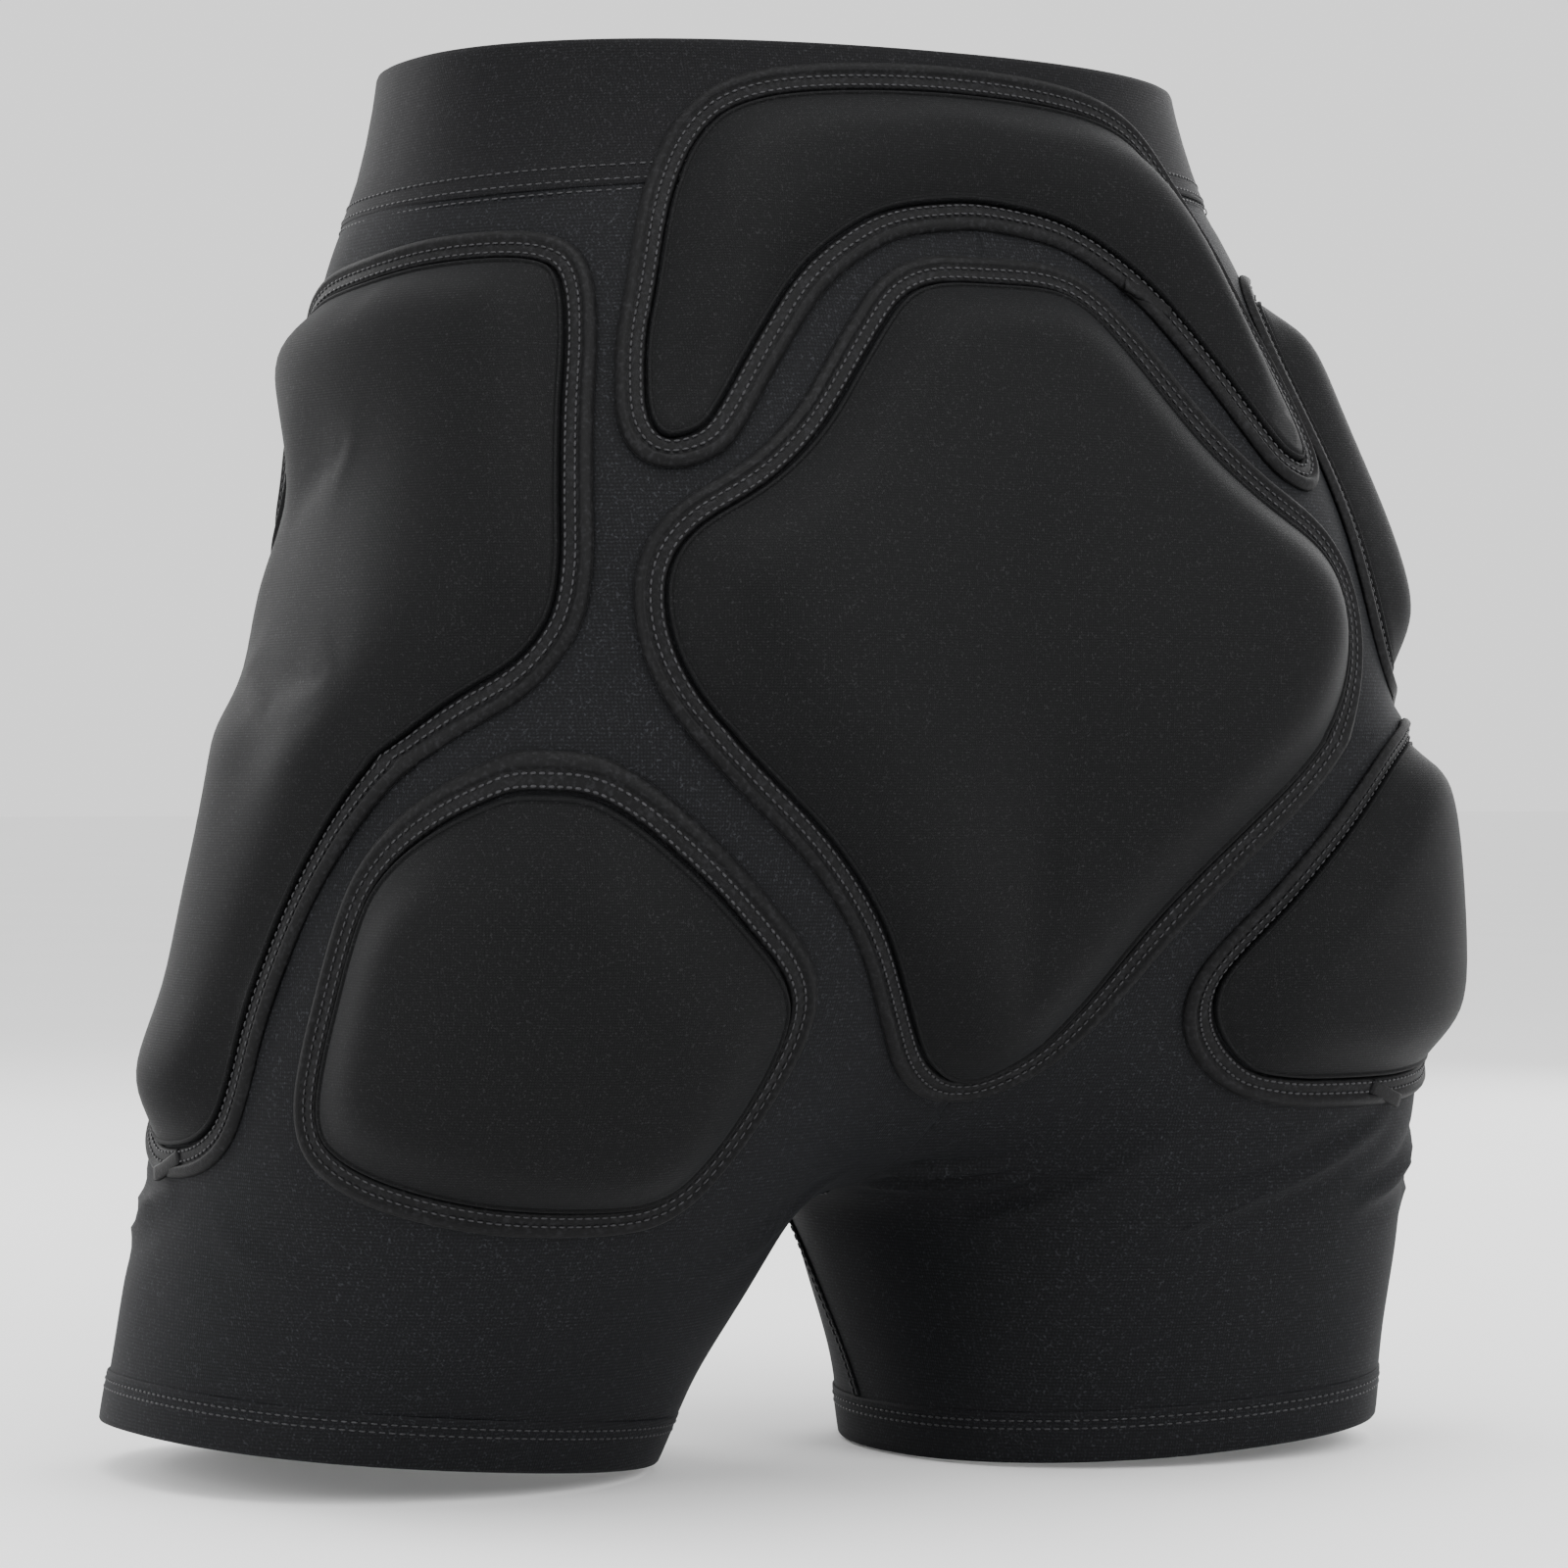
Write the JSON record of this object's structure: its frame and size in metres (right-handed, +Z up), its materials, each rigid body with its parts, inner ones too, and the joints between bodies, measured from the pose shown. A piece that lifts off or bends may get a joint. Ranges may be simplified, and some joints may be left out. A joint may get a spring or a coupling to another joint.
{
  "type": "padded impact shorts",
  "caption": "Close-fitting stretch shorts with moulded foam pads over the tail, seat, hips and backs of the thighs, standing in a short stride.",
  "frame": {"origin": "middle of the bounding box in plan, on the level undersides of the leg hems", "axes": "+Z up towards the waist rim, -Y towards the wearer's front, +X towards the wearer's left"},
  "size_m": [0.443, 0.3114, 0.44],
  "materials": {
    "shell_knit": "matte stretch knit",
    "band_knit": "smooth knit",
    "pad_cover": "matte laminated knit over foam",
    "pad_foam": "closed-cell foam",
    "binding_tape": "folded tape",
    "thread": "spun thread",
    "elastic": "woven elastic"
  },
  "bodies": {
    "seat": {"left_seat_panel": "shell_knit", "left_crease_band": "shell_knit", "right_seat_panel": "shell_knit", "right_crease_band": "shell_knit", "crotch_gusset": "shell_knit", "waistband_sheath": "band_knit", "waistband_elastic": "elastic", "waistband_stitching": "thread", "lumbar_pad_cover": "pad_cover", "lumbar_pad_foam": "pad_foam", "lumbar_pad_binding": "binding_tape", "lumbar_pad_stitching": "thread", "seat_pad_cover": "pad_cover", "seat_pad_foam": "pad_foam", "seat_pad_binding": "binding_tape", "seat_pad_stitching": "thread", "left_side_pad_cover": "pad_cover", "left_side_pad_foam": "pad_foam", "left_side_pad_binding": "binding_tape", "left_side_pad_stitching": "thread", "right_side_pad_cover": "pad_cover", "right_side_pad_foam": "pad_foam", "right_side_pad_binding": "binding_tape", "right_side_pad_stitching": "thread"},
    "left_leg": {"left_leg_panel": "shell_knit", "left_hem": "shell_knit", "left_hem_stitching": "thread", "left_thigh_pad_cover": "pad_cover", "left_thigh_pad_foam": "pad_foam", "left_thigh_pad_binding": "binding_tape", "left_thigh_pad_stitching": "thread"},
    "right_leg": {"right_leg_panel": "shell_knit", "right_hem": "shell_knit", "right_hem_stitching": "thread", "right_thigh_pad_cover": "pad_cover", "right_thigh_pad_foam": "pad_foam", "right_thigh_pad_binding": "binding_tape", "right_thigh_pad_stitching": "thread"}
  },
  "joints": [
    {"name": "left_hip_flex", "type": "hinge", "parent": "seat", "child": "left_leg", "pos_m": [0.1, -0.02315, 0.192], "axis": [-1, 0, 0], "range_deg": [0, 20], "deforming": ["left_crease_band", "left_side_pad_foam", "left_side_pad_cover", "left_side_pad_binding", "left_side_pad_stitching"]},
    {"name": "right_hip_flex", "type": "hinge", "parent": "seat", "child": "right_leg", "pos_m": [-0.1, -0.02315, 0.192], "axis": [-1, 0, 0], "range_deg": [0, 20], "deforming": ["right_crease_band", "right_side_pad_foam", "right_side_pad_cover", "right_side_pad_binding", "right_side_pad_stitching"]}
  ]
}
